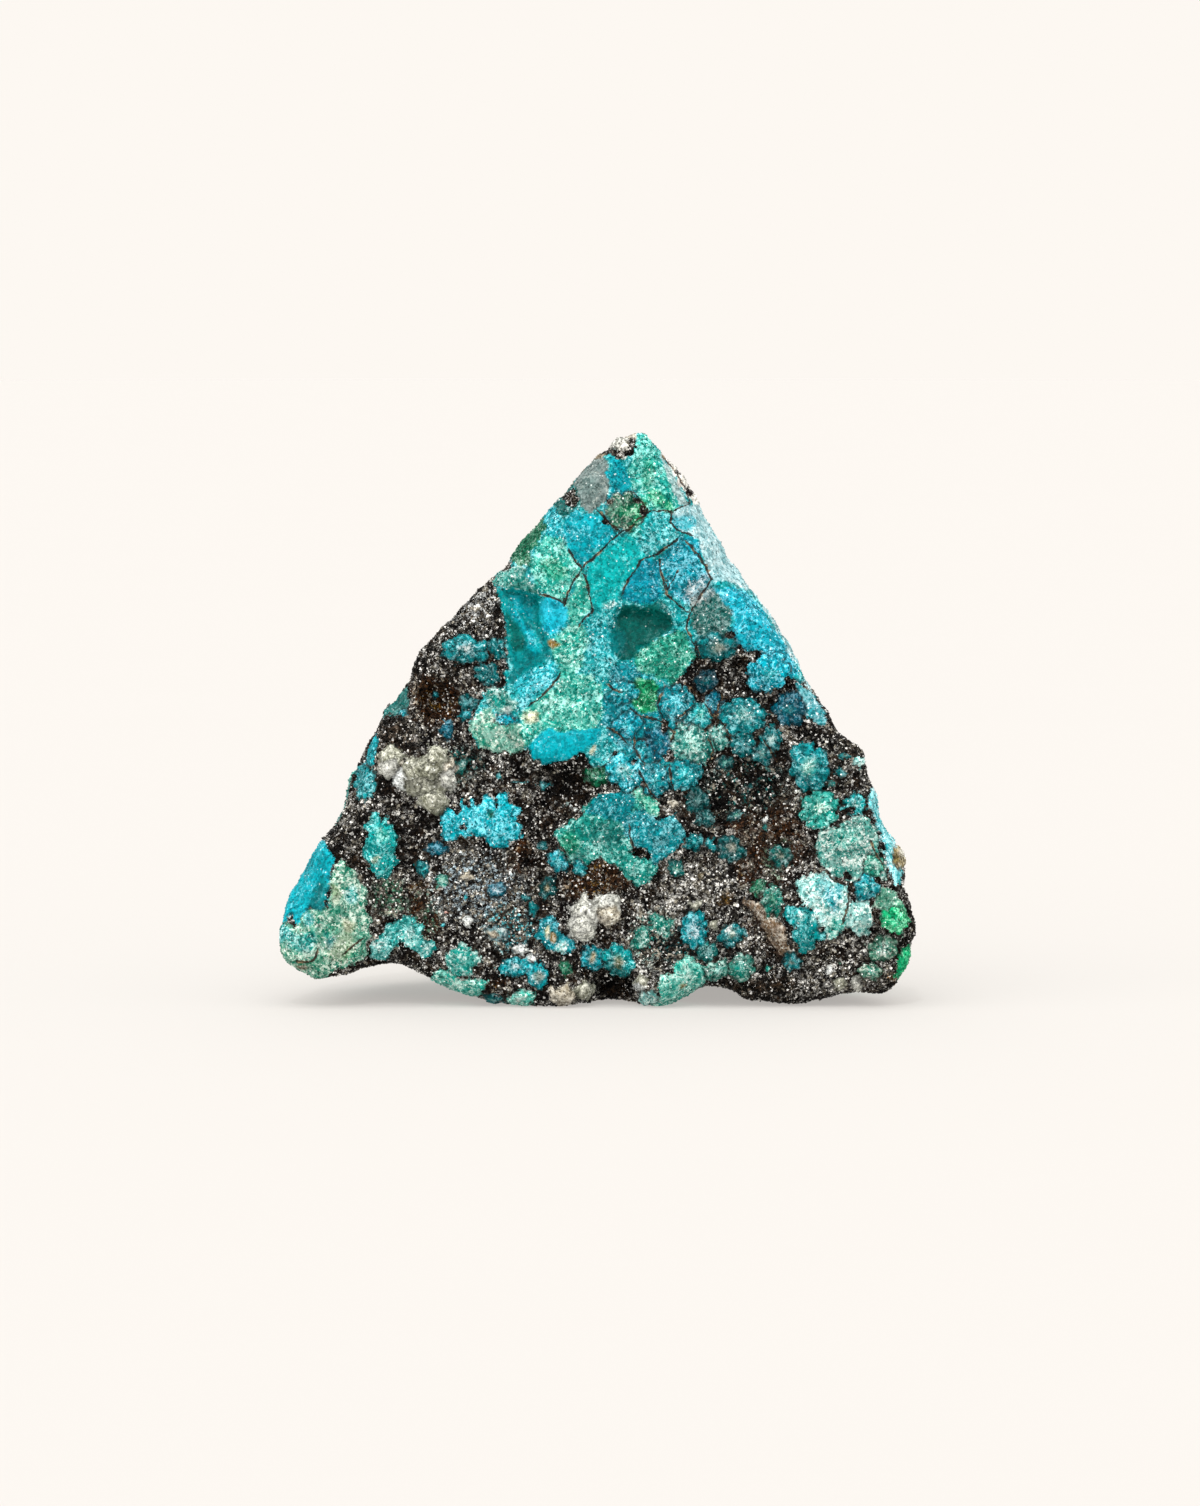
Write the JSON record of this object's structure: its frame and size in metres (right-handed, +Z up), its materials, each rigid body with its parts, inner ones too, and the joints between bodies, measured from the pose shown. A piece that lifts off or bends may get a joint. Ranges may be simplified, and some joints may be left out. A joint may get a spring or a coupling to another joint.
{
  "type": "chrysocolla specimen",
  "caption": "Triangular chrysocolla stone with a cleaved blue-green front, white quartz lumps, dark matrix hollows and a broken base to stand on.",
  "frame": {"origin": "centre of the bounding box on the plane that the stone stands on", "axes": "+Z up; the broad cleaved face looks towards -Y; +X to the right of a viewer who faces it"},
  "size_m": [0.0638, 0.0336, 0.0572],
  "materials": {
    "stone": "rough broken stone: turquoise, teal and mint chrysocolla crusts with a sugary quartz sparkle, in near-black granular matrix"
  },
  "bodies": {
    "root": {"stone": "stone"}
  },
  "joints": []
}
